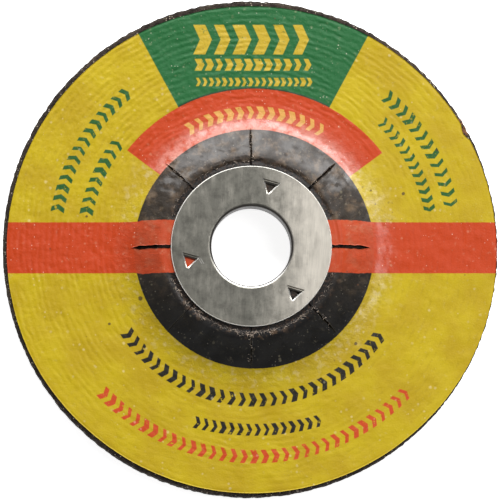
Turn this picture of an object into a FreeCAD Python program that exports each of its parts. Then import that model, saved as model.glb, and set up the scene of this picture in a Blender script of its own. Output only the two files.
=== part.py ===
import FreeCAD, Part
import math
import os
import Sketcher

# Depressed-centre grinding disc, 100 x 6 x 16 mm, made of four pieces: a moulded abrasive
# body, a glass mesh pressed into its back, a paper label glued over the mesh, and a steel
# centre ring whose collar lines the bore.
#
# Origin: on the disc's axis, in the plane of the grinding face. +Z points out of the label
# side, +X is the label's right-hand side and +Y its top. Millimetres and degrees.

sizes = {
    # Outline of the disc
    "disc_radius": 50.0,           # outside of the abrasive
    "disc_thickness": 6.0,         # at the rim, over the body, the mesh and the label
    "rim_bevel": 0.4,              # broken corner of the rim, on the label's side
    # Raised hub, on the label side
    "hub_rise": 4.6,               # how far the hub stands above the rim
    "hub_top_radius": 18.2,        # edge of the hub's flat top
    "hub_foot_radius": 25.0,       # foot of the hub's slope
    "foot_round": 2.0,             # hollow rounding of the paper at the foot of the slope
    # Recess for the lock nut, on the grinding side
    "recess_depth": 4.6,
    "recess_floor_radius": 17.75,
    "recess_mouth_radius": 23.4,
    "mouth_bevel": 0.8,            # broken corner round the mouth
    # Glass mesh
    "mesh_thickness": 0.5,
    "mesh_margin": 2.0,            # the mesh stops this far inside the rim
    "mesh_pitch": 15.0,            # from strand to strand, both ways
    "strand_width": 1.5,
    # Paper label
    "label_thickness": 0.2,
    "label_margin": 0.65,          # the paper is this much smaller than the disc, all round
    "label_shift_right": 0.28,     # the label is glued on a little off centre
    "label_shift_down": 0.32,
    "slit_short": 1.0,             # the cuts end this far above the foot of the slope
    "slit_wide": 0.7,              # cuts that the hub has pulled open, at the crown
    "slit_narrow": 0.36,
    "slit_closed": 0.18,
    "chip_radius": 2.5,            # bite out of the label's edge
    "chip_outside": 1.2,           # from the rim out to the bite's centre
    "chip_angle": 28.4,
    # Steel centre ring
    "bore_radius": 8.0,            # 16 mm spindle
    "ring_radius": 16.15,
    "sheet_thickness": 0.5,
    "bend_inside": 0.15,           # inside radius where the flange turns into the collar
    "ring_edge_bevel": 0.15,
    "collar_short": 0.4,           # the collar ends this far above the recess floor
    "collar_clearance": 0.05,      # between the collar and the abrasive
    "bend_clearance": 0.1,         # between the bend and the layers under the flange
    # Three claws, cut from the flange on two sides and folded down into the hub
    "claw_offset": 0.3,            # from half way across the flange, outwards
    "claw_side": 2.9,              # side of the triangle
    "claw_turn": -16.0,            # direction of the folds, from +X
    "claw_first": 72.5,            # angle of the first claw
    "hole_bevel": 0.25,            # rolled-over edge that the punch leaves
    "hole_tip": 0.2,               # width of each hole's blunt tip, across from its fold
    "fold_round": 0.4,             # outside of each fold
    "claw_clearance": 0.05,        # round each claw, in the layers that it bites
}
slit_count = 8
claw_count = 3

doc = FreeCAD.newDocument("grinding_disc")
sheet = doc.addObject("Spreadsheet::Sheet", "Sizes")
for row, (name, size) in enumerate(sizes.items(), 1):
    sheet.set("A%d" % row, name.replace("_", " "))
    sheet.set("B%d" % row, str(size))
    sheet.setAlias("B%d" % row, name)
doc.recompute()


def size_of(name):
    """The expression that reads one size from the sheet."""
    return "Sizes." + name


def number(expression):
    """The present value of an expression."""
    return float(sheet.evalExpression(expression))


# Levels and radii that several pieces share
label_top = size_of("disc_thickness")
label_under = "(%s - %s)" % (label_top, size_of("label_thickness"))
mesh_under = "(%s - %s)" % (label_under, size_of("mesh_thickness"))
hub_rise = size_of("hub_rise")
ring_under = "(%s + %s)" % (label_top, hub_rise)
ring_top = "(%s + %s)" % (ring_under, size_of("sheet_thickness"))
collar_end = "(%s + %s)" % (size_of("recess_depth"), size_of("collar_short"))
collar_outside = "(%s + %s)" % (size_of("bore_radius"), size_of("sheet_thickness"))
body_bore = "(%s + %s)" % (collar_outside, size_of("collar_clearance"))
bend_room = "(%s + %s)" % (size_of("bend_inside"), size_of("bend_clearance"))
layer_hole = "(%s + %s)" % (collar_outside, bend_room)
mesh_reach = "(%s - %s)" % (size_of("disc_radius"), size_of("mesh_margin"))
label_radius = "(%s - %s)" % (size_of("disc_radius"), size_of("label_margin"))
outer_bend = "(%s + %s)" % (size_of("bend_inside"), size_of("sheet_thickness"))
flange_inside = "(%s + %s)" % (size_of("bore_radius"), outer_bend)
claw_circle = "((%s + %s) / 2 + %s)" % (flange_inside, size_of("ring_radius"),
                                        size_of("claw_offset"))
claw_height = "(%s * sqrt(3) / 2)" % size_of("claw_side")


def origin_plane(body, role):
    return next(item for item in body.Origin.OriginFeatures if item.Role == role)


def new_sketch(body, name, role):
    """A sketch on one of the body's own origin planes."""
    sketch = body.newObject("Sketcher::SketchObject", name)
    sketch.AttachmentSupport = [(origin_plane(body, role), "")]
    sketch.MapMode = "FlatFace"
    return sketch


def bind(sketch, constraint, name, expression):
    index = sketch.addConstraint(constraint)
    sketch.renameConstraint(index, name)
    sketch.setExpression("Constraints." + name, expression)


def place_point(sketch, geometry, end, name, across, up):
    """Ties one point to the sketch's origin, across and up."""
    for axis, kind, line, expression in (("across", "DistanceX", -2, across),
                                         ("up", "DistanceY", -1, up)):
        value = number(expression)
        if abs(value) < 1e-9:
            sketch.addConstraint(Sketcher.Constraint("PointOnObject", geometry, end, line))
        elif value > 0:
            constraint = Sketcher.Constraint(kind, -1, 1, geometry, end, value)
            bind(sketch, constraint, "%s_%s" % (name, axis), expression)
        else:
            constraint = Sketcher.Constraint(kind, geometry, end, -1, 1, -value)
            bind(sketch, constraint, "%s_%s" % (name, axis), "-(%s)" % expression)


def outline(sketch, corners):
    """A closed outline of straight runs. Each corner is (name, across, up, rounding)."""
    places = []
    for name, across, up, rounding in corners:
        places.append(FreeCAD.Vector(number(across), number(up), 0))
    count = len(corners)
    leaving = []
    arriving = []
    arcs = []
    for k, (name, across, up, rounding) in enumerate(corners):
        here = places[k]
        back = (places[k - 1] - here).normalize()
        ahead = (places[(k + 1) % count] - here).normalize()
        reach = 0.0
        arc = None
        if rounding:
            radius = number(rounding)
            half_turn = back.getAngle(ahead) / 2
            reach = radius / math.tan(half_turn)
            centre = here + (back + ahead).normalize() * (radius / math.sin(half_turn))
            first = here + back * reach - centre
            last = here + ahead * reach - centre
            clockwise = first.cross(last).z < 0
            if clockwise:
                first, last = last, first
            circle = Part.Circle(centre, FreeCAD.Vector(0, 0, 1), radius)
            start = math.atan2(first.y, first.x)
            sweep = first.getAngle(last)
            arc = (Part.ArcOfCircle(circle, start, start + sweep), clockwise)
        arriving.append(here + back * reach)
        leaving.append(here + ahead * reach)
        arcs.append(arc)
    runs = []
    for k in range(count):
        line = Part.LineSegment(leaving[k], arriving[(k + 1) % count])
        runs.append(sketch.addGeometry(line, False))
    for k, (name, across, up, rounding) in enumerate(corners):
        into = runs[k - 1]
        out = runs[k]
        if arcs[k] is None:
            sketch.addConstraint(Sketcher.Constraint("Coincident", into, 2, out, 1))
            place_point(sketch, out, 1, name, across, up)
            continue
        shape, clockwise = arcs[k]
        arc = sketch.addGeometry(shape, False)
        near, far = (2, 1) if clockwise else (1, 2)
        sketch.addConstraint(Sketcher.Constraint("Tangent", into, 2, arc, near))
        sketch.addConstraint(Sketcher.Constraint("Tangent", arc, far, out, 1))
        bind(sketch, Sketcher.Constraint("Radius", arc, number(rounding)),
             name + "_round", rounding)
        mark = sketch.addGeometry(Part.Point(places[k]), True)
        sketch.addConstraint(Sketcher.Constraint("PointOnObject", mark, 1, into))
        sketch.addConstraint(Sketcher.Constraint("PointOnObject", mark, 1, out))
        place_point(sketch, mark, 1, name, across, up)


def turned_body(name, corners):
    """A body turned about the disc's axis from an outline in the XZ plane."""
    body = doc.addObject("PartDesign::Body", name)
    sketch = new_sketch(body, name + "_section", "XZ_Plane")
    outline(sketch, corners)
    turned = body.newObject("PartDesign::Revolution", name + "_turned")
    turned.Profile = sketch
    turned.ReferenceAxis = (sketch, ["V_Axis"])
    turned.Angle = 360
    doc.recompute()
    return body


def cut_through(body, sketch, name):
    """Cuts a sketch in the XY plane through the whole body, and tests that it cut."""
    before = body.Shape.Volume
    pocket = body.newObject("PartDesign::Pocket", name)
    pocket.Profile = sketch
    pocket.SideType = "Symmetric"
    pocket.Type = "Length"
    pocket.setExpression("Length", "4 * " + ring_top)
    doc.recompute()
    if body.Shape.Volume >= before - 1e-6:
        raise RuntimeError(name + " cuts nothing")
    return pocket


def layer_corners(under, top, reach, rounding=None):
    """Section of a layer that follows the hub, between two levels of the rim."""
    crown = size_of("hub_top_radius")
    foot = size_of("hub_foot_radius")
    return [
        ("outer_under", reach, under, None),
        ("outer_top", reach, top, None),
        ("foot_top", foot, top, rounding),
        ("crown_top", crown, "%s + %s" % (top, hub_rise), None),
        ("hole_top", layer_hole, "%s + %s" % (top, hub_rise), None),
        ("hole_under", layer_hole, "%s + %s" % (under, hub_rise), None),
        ("crown_under", crown, "%s + %s" % (under, hub_rise), None),
        ("foot_under", foot, under, None),
    ]


def claw_middle(k):
    """Where the middle of claw number k lies, across and up."""
    angle = "(%s + %g)" % (size_of("claw_first"), k * 360.0 / claw_count)
    across = "%s * cos(%s * 1deg)" % (claw_circle, angle)
    up = "%s * sin(%s * 1deg)" % (claw_circle, angle)
    return across, up


def claw_place(item, k, level):
    """Stands an item at fold number k, with its own X along the fold and its top at a level."""
    across, up = claw_middle(k)
    turn = "%s * 1deg" % size_of("claw_turn")
    fold = "%s / 3" % claw_height
    item.setExpression("Placement.Base.x", "%s - %s * sin(%s)" % (across, fold, turn))
    item.setExpression("Placement.Base.y", "%s + %s * cos(%s)" % (up, fold, turn))
    item.setExpression("Placement.Base.z", level)


def claw_wedge(name, k, room):
    """A pointed plate that stands down from fold number k, with room all round it."""
    plate = doc.addObject("Part::Wedge", "%s_%d" % (name, k + 1))
    half = "(%s / 2 + sqrt(3) * %s)" % (size_of("claw_side"), room)
    plate.setExpression("Xmin", "-" + half)
    plate.setExpression("Xmax", half)
    plate.X2min = 0
    plate.X2max = 0
    plate.Ymin = 0
    plate.setExpression("Ymax", "sqrt(3) * " + half)
    for low, high in (("Zmin", "Zmax"), ("Z2min", "Z2max")):
        plate.setExpression(low, "-" + room)
        plate.setExpression(high, "%s + %s" % (size_of("sheet_thickness"), room))
    # Its own Y runs down, and its own Z runs from the fold into the hole.
    upright = FreeCAD.Rotation(FreeCAD.Vector(-1, 0, 0), FreeCAD.Vector(0, 0, -1),
                               FreeCAD.Vector(0, -1, 0), "ZXY")
    facing = FreeCAD.Rotation(FreeCAD.Vector(0, 0, 1), number(size_of("claw_turn")))
    plate.Placement = FreeCAD.Placement(FreeCAD.Vector(0, 0, 0), facing * upright)
    claw_place(plate, k, "%s + %s" % (ring_top, room))
    return plate


def folded_claw(k):
    """One claw: the flange's sheet, rolled over at the fold and cut to a point."""
    strip = doc.addObject("PartDesign::Body", "claw_strip_%d" % (k + 1))
    sketch = new_sketch(strip, "claw_section_%d" % (k + 1), "YZ_Plane")
    sheet_wall = size_of("sheet_thickness")
    outline(sketch, [
        ("fold_top", "0", "0", None),
        ("fold_foot", "0", "-" + claw_height, None),
        ("face_foot", "-" + sheet_wall, "-" + claw_height, None),
        ("face_top", "-" + sheet_wall, "0", size_of("fold_round")),
    ])
    pad = strip.newObject("PartDesign::Pad", "claw_pad_%d" % (k + 1))
    pad.Profile = sketch
    pad.SideType = "Symmetric"
    pad.setExpression("Length", size_of("claw_side"))
    facing = FreeCAD.Rotation(FreeCAD.Vector(0, 0, 1), number(size_of("claw_turn")))
    strip.Placement = FreeCAD.Placement(FreeCAD.Vector(0, 0, 0), facing)
    claw_place(strip, k, ring_top)
    claw = doc.addObject("Part::Common", "claw_%d" % (k + 1))
    claw.Base = strip
    claw.Tool = claw_wedge("claw_point", k, "0")
    return claw


def fused(name, pieces):
    whole = doc.addObject("Part::MultiFuse", name)
    whole.Shapes = pieces
    whole.Refine = True
    return whole


def cut(name, base, tool):
    rest = doc.addObject("Part::Cut", name)
    rest.Base = base
    rest.Tool = tool
    rest.Refine = False
    return rest


def make_body_blank():
    """The moulded abrasive, before the mesh and the claws are pressed into it."""
    hub_top = "%s + %s" % (label_under, hub_rise)
    rim = size_of("disc_radius")
    bevel = size_of("rim_bevel")
    floor = size_of("recess_floor_radius")
    mouth = size_of("recess_mouth_radius")
    depth = size_of("recess_depth")
    mouth_bevel = size_of("mouth_bevel")
    slope_run = "(%s * (%s - %s) / %s)" % (mouth_bevel, mouth, floor, depth)
    return turned_body("abrasive_blank", [
        ("bore_foot", body_bore, depth, None),
        ("recess", floor, depth, None),
        ("mouth_inner", "%s - %s" % (mouth, slope_run), mouth_bevel, None),
        ("mouth_outer", "%s + %s" % (mouth, mouth_bevel), "0", None),
        ("rim_foot", rim, "0", None),
        ("rim_top", rim, "%s - %s" % (label_under, bevel), None),
        ("rim_top_inner", "%s - %s" % (rim, bevel), label_under, None),
        ("foot", size_of("hub_foot_radius"), label_under, None),
        ("crown", size_of("hub_top_radius"), hub_top, None),
        ("bore_edge", "%s + %s" % (body_bore, bend_room), hub_top, None),
        ("bore_top", body_bore, "%s - %s" % (hub_top, bend_room), None),
    ])


def make_mesh_weave():
    """Strands both ways, cut from one layer that follows the hub."""
    layer = turned_body("mesh_layer", layer_corners(mesh_under, label_under, mesh_reach))
    pitch = size_of("mesh_pitch")
    width = size_of("strand_width")
    pairs = int((number(mesh_reach) - number(width) / 2) / number(pitch))
    strands = []
    for k in range(-pairs, pairs + 1):
        middle = "%d * %s - %s / 2" % (k, pitch, width)
        for way, along, across in (("warp", "y", "x"), ("weft", "x", "y")):
            strand = doc.addObject("Part::Box", "%s_%d" % (way, k + pairs + 1))
            lengthwise, sideways = ("Width", "Length") if way == "warp" else ("Length", "Width")
            strand.setExpression(lengthwise, "2 * " + mesh_reach)
            strand.setExpression(sideways, width)
            strand.setExpression("Height", ring_top)
            strand.setExpression("Placement.Base." + along, "-" + mesh_reach)
            strand.setExpression("Placement.Base." + across, middle)
            strands.append(strand)
    weave = doc.addObject("Part::Common", "mesh_weave")
    weave.Base = layer
    weave.Tool = fused("mesh_strands", strands)
    weave.Refine = False
    return weave


def trim_label_edge(body):
    """The paper's outer edge is a circle glued a little off centre."""
    sketch = new_sketch(body, "label_edge", "XY_Plane")
    centre = FreeCAD.Vector(number(size_of("label_shift_right")),
                            -number(size_of("label_shift_down")), 0)
    upwards = FreeCAD.Vector(0, 0, 1)
    for name, radius in (("paper", label_radius),
                         ("waste", "2 * " + size_of("disc_radius"))):
        circle = Part.Circle(centre, upwards, number(radius))
        ring = sketch.addGeometry(circle, False)
        bind(sketch, Sketcher.Constraint("Radius", ring, number(radius)), name + "_radius", radius)
        place_point(sketch, ring, 3, name, size_of("label_shift_right"),
                    "-" + size_of("label_shift_down"))
    cut_through(body, sketch, "label_edge_cut")


def chip_label_edge(body):
    sketch = new_sketch(body, "label_chip", "XY_Plane")
    angle = "%s * 1deg" % size_of("chip_angle")
    out = "(%s + %s)" % (size_of("disc_radius"), size_of("chip_outside"))
    across = "%s * cos(%s)" % (out, angle)
    up = "%s * sin(%s)" % (out, angle)
    centre = FreeCAD.Vector(number(across), number(up), 0)
    radius = number(size_of("chip_radius"))
    bite = sketch.addGeometry(Part.Circle(centre, FreeCAD.Vector(0, 0, 1), radius), False)
    bind(sketch, Sketcher.Constraint("Radius", bite, radius), "bite", size_of("chip_radius"))
    place_point(sketch, bite, 3, "centre", across, up)
    cut_through(body, sketch, "label_chip_cut")


def slit_label(body):
    """Straight cuts let the flat paper rise over the hub, and open most at its crown."""
    widths = ["slit_wide", "slit_narrow", "slit_narrow", "slit_narrow",
              "slit_wide", "slit_closed", "slit_closed", "slit_narrow"]
    middle = size_of("hub_top_radius")
    end = "(%s - %s)" % (size_of("hub_foot_radius"), size_of("slit_short"))
    for k in range(slit_count):
        sketch = new_sketch(body, "slit_%d" % (k + 1), "XY_Plane")
        turn = FreeCAD.Rotation(FreeCAD.Vector(0, 0, 1), k * 360.0 / slit_count)
        sketch.AttachmentOffset = FreeCAD.Placement(FreeCAD.Vector(0, 0, 0), turn)
        half = "%s / 2" % size_of(widths[k])
        start = "(%s - 1)" % layer_hole
        outline(sketch, [
            ("inner_right", start, "-" + half, None),
            ("crown_right", middle, "-" + half, None),
            ("end", end, "0", None),
            ("crown_left", middle, half, None),
            ("inner_left", start, half, None),
        ])
        cut_through(body, sketch, "slit_cut_%d" % (k + 1))


def make_label_blank():
    corners = layer_corners(label_under, label_top, size_of("disc_radius"), size_of("foot_round"))
    body = turned_body("label_blank", corners)
    trim_label_edge(body)
    chip_label_edge(body)
    slit_label(body)
    return body


def punched_hole(sketch, k):
    """An even triangle with one side along its fold, and a blunt tip across from that side."""
    across, up = claw_middle(k)
    reach = "%s / sqrt(3)" % size_of("claw_side")
    tip = size_of("hole_tip")
    corners = []
    for name, angle, blunt, blunt_angle in (("fold_right", 30, "0", 0),
                                            ("fold_left", 150, "0", 0),
                                            ("tip_left", 270, tip, 120),
                                            ("tip_right", 270, tip, 60)):
        outward = "((%g + %s) * 1deg)" % (angle, size_of("claw_turn"))
        back = "((%g + %s) * 1deg)" % (blunt_angle, size_of("claw_turn"))
        corners.append((name,
                        "%s + %s * cos(%s) + %s * cos(%s)" % (across, reach, outward, blunt, back),
                        "%s + %s * sin(%s) + %s * sin(%s)" % (up, reach, outward, blunt, back),
                        None))
    outline(sketch, corners)


def bevel_holes(body):
    """The punch rolls the top edges of the three holes over."""
    level = number(ring_top)
    names = []
    for k, edge in enumerate(body.Shape.Edges, 1):
        box = edge.BoundBox
        if not edge.isClosed() and abs(box.ZMin - level) < 1e-6 and abs(box.ZMax - level) < 1e-6:
            names.append("Edge%d" % k)
    punched = body.Tip
    bevel = body.newObject("PartDesign::Chamfer", "hole_bevels")
    bevel.Base = (punched, names)
    bevel.setExpression("Size", size_of("hole_bevel"))
    doc.recompute()


def make_ring():
    """Pressed steel: a flange, a rolled bend and a collar, with three claws folded down."""
    edge = size_of("ring_radius")
    edge_bevel = size_of("ring_edge_bevel")
    # The hidden inside of the bend is one flat, as far in as its rounding would be.
    flat = "%s * (2 - sqrt(2))" % size_of("bend_inside")
    body = turned_body("ring_pressing", [
        ("collar_inside", size_of("bore_radius"), collar_end, None),
        ("collar_outside", collar_outside, collar_end, None),
        ("bend_foot", collar_outside, "%s - %s" % (ring_under, flat), None),
        ("bend_end", "%s + %s" % (collar_outside, flat), ring_under, None),
        ("flange_under", edge, ring_under, None),
        ("edge_foot", edge, "%s - %s" % (ring_top, edge_bevel), None),
        ("edge_top", "%s - %s" % (edge, edge_bevel), ring_top, None),
        ("bend_outside", size_of("bore_radius"), ring_top, outer_bend),
    ])
    for k in range(claw_count):
        hole = new_sketch(body, "claw_hole_%d" % (k + 1), "XY_Plane")
        punched_hole(hole, k)
        cut_through(body, hole, "claw_hole_cut_%d" % (k + 1))
    bevel_holes(body)
    claws = [folded_claw(k) for k in range(claw_count)]
    return fused("ring_with_claws", [body] + claws)


def sub_part(name, source):
    """Gives the finished object its own label, which names its file."""
    source.Label = name
    return source


weave = make_mesh_weave()
sockets = fused("claw_sockets", [claw_wedge("socket", k, size_of("claw_clearance"))
                                 for k in range(claw_count)])
channelled = cut("body_channels", make_body_blank(), weave)
sub_parts = [
    sub_part("abrasive_body", cut("body_cut", channelled, sockets)),
    sub_part("glass_mesh", cut("mesh_cut", weave, sockets)),
    sub_part("paper_label", cut("label_cut", make_label_blank(), sockets)),
    sub_part("centre_ring", make_ring()),
]
doc.recompute()

for item in doc.Objects:
    if "Invalid" in item.State or "Error" in item.State:
        raise RuntimeError("%s failed: %s" % (item.Label, item.State))
for item in sub_parts:
    if item.Shape.isNull() or not item.Shape.isValid():
        raise RuntimeError(item.Label + " has no valid shape")

os.makedirs("parts", exist_ok=True)
for item in sub_parts:
    item.Shape.exportStep("parts/%s.step" % item.Label)
    box = item.Shape.BoundBox
    print("%s: %d solid, %.1f mm3, z %.2f to %.2f" % (
        item.Label, len(item.Shape.Solids), item.Shape.Volume, box.ZMin, box.ZMax))
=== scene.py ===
import math
import bpy
import numpy as np
from types import SimpleNamespace
from mathutils import Matrix, Vector


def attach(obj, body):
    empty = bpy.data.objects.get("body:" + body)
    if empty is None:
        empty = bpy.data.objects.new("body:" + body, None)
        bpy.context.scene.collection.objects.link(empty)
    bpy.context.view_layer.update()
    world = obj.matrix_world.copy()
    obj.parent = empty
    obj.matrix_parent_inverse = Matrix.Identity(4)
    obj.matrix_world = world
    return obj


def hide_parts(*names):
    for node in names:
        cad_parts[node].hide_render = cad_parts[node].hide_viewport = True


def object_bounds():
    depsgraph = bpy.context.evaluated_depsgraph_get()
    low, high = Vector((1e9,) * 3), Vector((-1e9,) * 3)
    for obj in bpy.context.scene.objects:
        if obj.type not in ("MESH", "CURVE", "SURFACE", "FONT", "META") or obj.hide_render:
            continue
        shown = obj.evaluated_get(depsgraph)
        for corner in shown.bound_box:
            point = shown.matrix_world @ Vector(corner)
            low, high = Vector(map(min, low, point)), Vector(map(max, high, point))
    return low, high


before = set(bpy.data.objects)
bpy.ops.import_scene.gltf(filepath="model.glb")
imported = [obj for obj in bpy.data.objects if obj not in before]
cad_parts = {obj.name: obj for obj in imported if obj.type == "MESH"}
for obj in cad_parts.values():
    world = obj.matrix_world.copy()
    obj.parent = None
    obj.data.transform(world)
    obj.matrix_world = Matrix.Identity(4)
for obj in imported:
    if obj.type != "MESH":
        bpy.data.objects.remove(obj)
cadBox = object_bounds()
mm = 0.001

# Levels and radii of the disc, in millimetres, as the CAD has them
disc = dict(
    rimRadius=round(cadBox[1][0] / mm, 3), rimBevel=0.4, ringTop=round(cadBox[1][2] / mm, 3),
    bodyTop=5.8, labelTop=6.0, hubRise=4.6, crownRadius=18.2, footRadius=25.0,
    boreRadius=8.0, ringRadius=16.15, layerHole=8.75, bodyBore=8.55, boreEase=0.25,
    recessDepth=4.6, recessFloor=17.75, recessMouth=23.4, mouthBevel=0.8,
)


# Small tools for noise, meshes and node trees

def smooth(t):
    t = np.clip(t, 0, 1)
    return t * t * (3 - 2 * t)


def valueNoise(x, y, size, seed):
    # Smooth random values from -1 to 1 on a lattice of the given size
    table = np.random.default_rng(seed).uniform(-1, 1, (64, 64))
    u = x / size
    v = y / size
    i = np.floor(u).astype(int)
    j = np.floor(v).astype(int)
    a = smooth(u - i)
    b = smooth(v - j)
    low = table[i % 64, j % 64] * (1 - a) + table[(i + 1) % 64, j % 64] * a
    high = table[i % 64, (j + 1) % 64] * (1 - a) + table[(i + 1) % 64, (j + 1) % 64] * a
    return low * (1 - b) + high * b


def layeredNoise(x, y, size, seed, layers=3):
    total = 0
    for k in range(layers):
        total = total + valueNoise(x, y, size / 2 ** k, seed + 31 * k) / 2 ** k
    return total / 1.5


def turnFrom(angle, degrees):
    # How far an angle is turned from a direction, at most half a turn either way
    return (angle - math.radians(degrees) + math.pi) % (2 * math.pi) - math.pi


def meshObject(name, points, faces):
    mesh = bpy.data.meshes.new(name)
    mesh.from_pydata([tuple(p) for p in np.asarray(points) * mm], [], faces)
    mesh.validate()
    mesh.update()
    mesh.shade_smooth()
    piece = bpy.data.objects.new(name, mesh)
    bpy.context.scene.collection.objects.link(piece)
    return piece


def giveMaterial(piece, material):
    if not piece.material_slots:
        piece.data.materials.append(material)
    for slot in piece.material_slots:
        slot.material = material


def linear(red, green, blue):
    # A screen colour of 0 to 255 as the shader wants it
    def one(c):
        c = c / 255
        return c / 12.92 if c <= 0.04045 else ((c + 0.055) / 1.055) ** 2.4
    return (one(red), one(green), one(blue), 1.0)


class Tree:
    # Adds nodes to one tree, taking numbers, colours or other nodes' outputs as inputs
    def __init__(self, tree):
        self.tree = tree

    def feed(self, socket, value):
        if isinstance(value, bpy.types.NodeSocket):
            self.tree.links.new(value, socket)
        elif value is not None:
            socket.default_value = value

    def node(self, kind, inputs=None, **settings):
        made = self.tree.nodes.new(kind)
        for key, value in settings.items():
            setattr(made, key, value)
        for key, value in (inputs or {}).items():
            self.feed(made.inputs[key], value)
        return made

    def math(self, operation, first, second=None, clamp=False):
        inputs = {0: first} if second is None else {0: first, 1: second}
        return self.node("ShaderNodeMath", inputs, operation=operation, use_clamp=clamp).outputs[0]

    def times(self, first, second):
        return self.math("MULTIPLY", first, second)

    def plus(self, first, second):
        return self.math("ADD", first, second)

    def minus(self, first, second, clamp=False):
        return self.math("SUBTRACT", first, second, clamp)

    def greater(self, first, second):
        return self.math("MAXIMUM", first, second)

    def wave(self, value, pitch):
        return self.math("SINE", self.times(2 * math.pi, self.math("DIVIDE", value, pitch)))

    def mixColour(self, amount, first, second, blend="MIX"):
        made = self.node("ShaderNodeMix", data_type="RGBA", blend_type=blend)
        self.feed(made.inputs[0], amount)
        self.feed(made.inputs[6], first)
        self.feed(made.inputs[7], second)
        return made.outputs[2]

    def tint(self, colour, mask, amount, ink):
        # Lays an ink over a colour, as far as the mask and the amount say
        return self.mixColour(self.times(mask, amount), colour, ink)

    def step(self, value, low, high):
        # 0 below low, 1 above high, or the other way round where low is the larger
        made = self.node("ShaderNodeMapRange", {"Value": value, "From Min": low, "From Max": high},
                         interpolation_type="SMOOTHSTEP")
        return made.outputs[0]

    def between(self, value, ends, soft):
        # 1 between two ends and 0 outside them
        rising = self.step(value, ends[0] - soft, ends[0] + soft)
        return self.times(rising, self.step(value, ends[1] + soft, ends[1] - soft))

    def noise(self, vector, scale, detail=3.0, rough=0.5, distortion=0.0):
        made = self.node("ShaderNodeTexNoise", {"Vector": vector, "Scale": scale, "Detail": detail,
                                                "Roughness": rough, "Distortion": distortion})
        return made.outputs[0]

    def cells(self, vector, scale):
        # Distance to the nearest of scattered points, and that point's three chance values
        made = self.node("ShaderNodeTexVoronoi", {"Vector": vector, "Scale": scale})
        chance = self.node("ShaderNodeSeparateColor", {0: made.outputs[1]})
        return made.outputs[0], chance.outputs

    def sides(self, vector):
        return self.node("ShaderNodeSeparateXYZ", {0: vector}).outputs

    def vectorMath(self, operation, vector, other=None):
        return self.node("ShaderNodeVectorMath", {0: vector, 1: other}, operation=operation).outputs

    def polar(self, x, y, middle):
        # Distance from a middle, and direction in degrees
        dx = self.minus(x, middle[0])
        dy = self.minus(y, middle[1])
        distance = self.math("SQRT", self.plus(self.times(dx, dx), self.times(dy, dy)))
        return distance, self.math("DEGREES", self.math("ARCTAN2", dy, dx))

    def objectMm(self):
        # The object's own coordinates in millimetres
        where = self.node("ShaderNodeTexCoord").outputs["Object"]
        scaled = self.node("ShaderNodeVectorMath", {0: where, 3: 1 / mm}, operation="SCALE")
        return scaled.outputs[0]

    def bump(self, height, strength, depth):
        made = self.node("ShaderNodeBump", {"Height": height, "Strength": strength,
                                            "Distance": depth})
        return made.outputs[0]

    def place(self, group, inputs):
        made = self.node("ShaderNodeGroup", node_tree=group)
        for key, value in inputs.items():
            self.feed(made.inputs[key], value)
        return made.outputs


def newGroup(name, inputs, outputs):
    group = bpy.data.node_groups.new(name, "ShaderNodeTree")
    for label, kind, value in inputs:
        socket = group.interface.new_socket(label, in_out="INPUT", socket_type="NodeSocket" + kind)
        if value is not None:
            socket.default_value = value
    for label in outputs:
        group.interface.new_socket(label, in_out="OUTPUT", socket_type="NodeSocketFloat")
    tree = Tree(group)
    return group, tree, tree.node("NodeGroupInput").outputs, tree.node("NodeGroupOutput").inputs


def newMaterial(name):
    material = bpy.data.materials.new(name)
    material.use_nodes = True
    material.node_tree.nodes.clear()
    tree = Tree(material.node_tree)
    shader = tree.node("ShaderNodeBsdfPrincipled")
    out = tree.node("ShaderNodeOutputMaterial")
    tree.feed(out.inputs["Surface"], shader.outputs[0])
    return material, tree, shader.inputs


print("stage: shared shader groups")


def specksGroup():
    # Scattered dots of uneven size, as dust, scuffs or pits
    group, t, given, out = newGroup(
        "specks",
        [("Vector", "Vector", None), ("Scale", "Float", 1.0), ("Size", "Float", 0.2),
         ("Share", "Float", 0.3), ("Patches", "Float", 0.1)],
        ["Mask"])
    distance, chance = t.cells(given["Vector"], given["Scale"])
    kept = t.math("LESS_THAN", chance[0], given["Share"])
    size = t.times(given["Size"], t.plus(0.35, chance[1]))
    uneven = t.noise(given["Vector"], t.times(given["Scale"], 3.0))
    ragged = t.plus(distance, t.times(0.16, t.minus(uneven, 0.5)))
    dot = t.step(ragged, size, t.times(size, 0.3))
    patch = t.step(t.noise(given["Vector"], given["Patches"]), 0.35, 0.6)
    t.feed(out["Mask"], t.times(t.times(kept, dot), patch))
    return group


def weaveGroup():
    # The ripple of a woven cloth: two sets of threads, uneven in height
    group, t, given, out = newGroup(
        "weave",
        [("Vector", "Vector", None), ("Pitch Across", "Float", 1.2), ("Pitch Along", "Float", 2.0),
         ("Wander", "Float", 0.6)],
        ["Height", "Hollows"])
    sides = t.sides(given["Vector"])
    sway = t.times(given["Wander"], t.noise(given["Vector"], 0.11, 2.0))
    swaySmall = t.times(given["Wander"], t.noise(given["Vector"], 0.45, 2.0))
    along = t.plus(sides[0], t.times(sway, 3.0))
    up = t.plus(t.plus(sides[1], t.times(sway, 4.0)), swaySmall)
    first = t.wave(up, given["Pitch Across"])
    second = t.wave(along, given["Pitch Along"])
    patchy = t.step(t.noise(given["Vector"], 0.16, 3.0), 0.3, 0.7)
    threads = t.plus(t.times(first, 0.6), t.times(t.times(first, second), 0.5))
    height = t.times(threads, t.plus(0.45, t.times(patchy, 0.75)))
    t.feed(out["Height"], height)
    t.feed(out["Hollows"], t.step(height, -0.1, -0.9))
    return group


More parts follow.
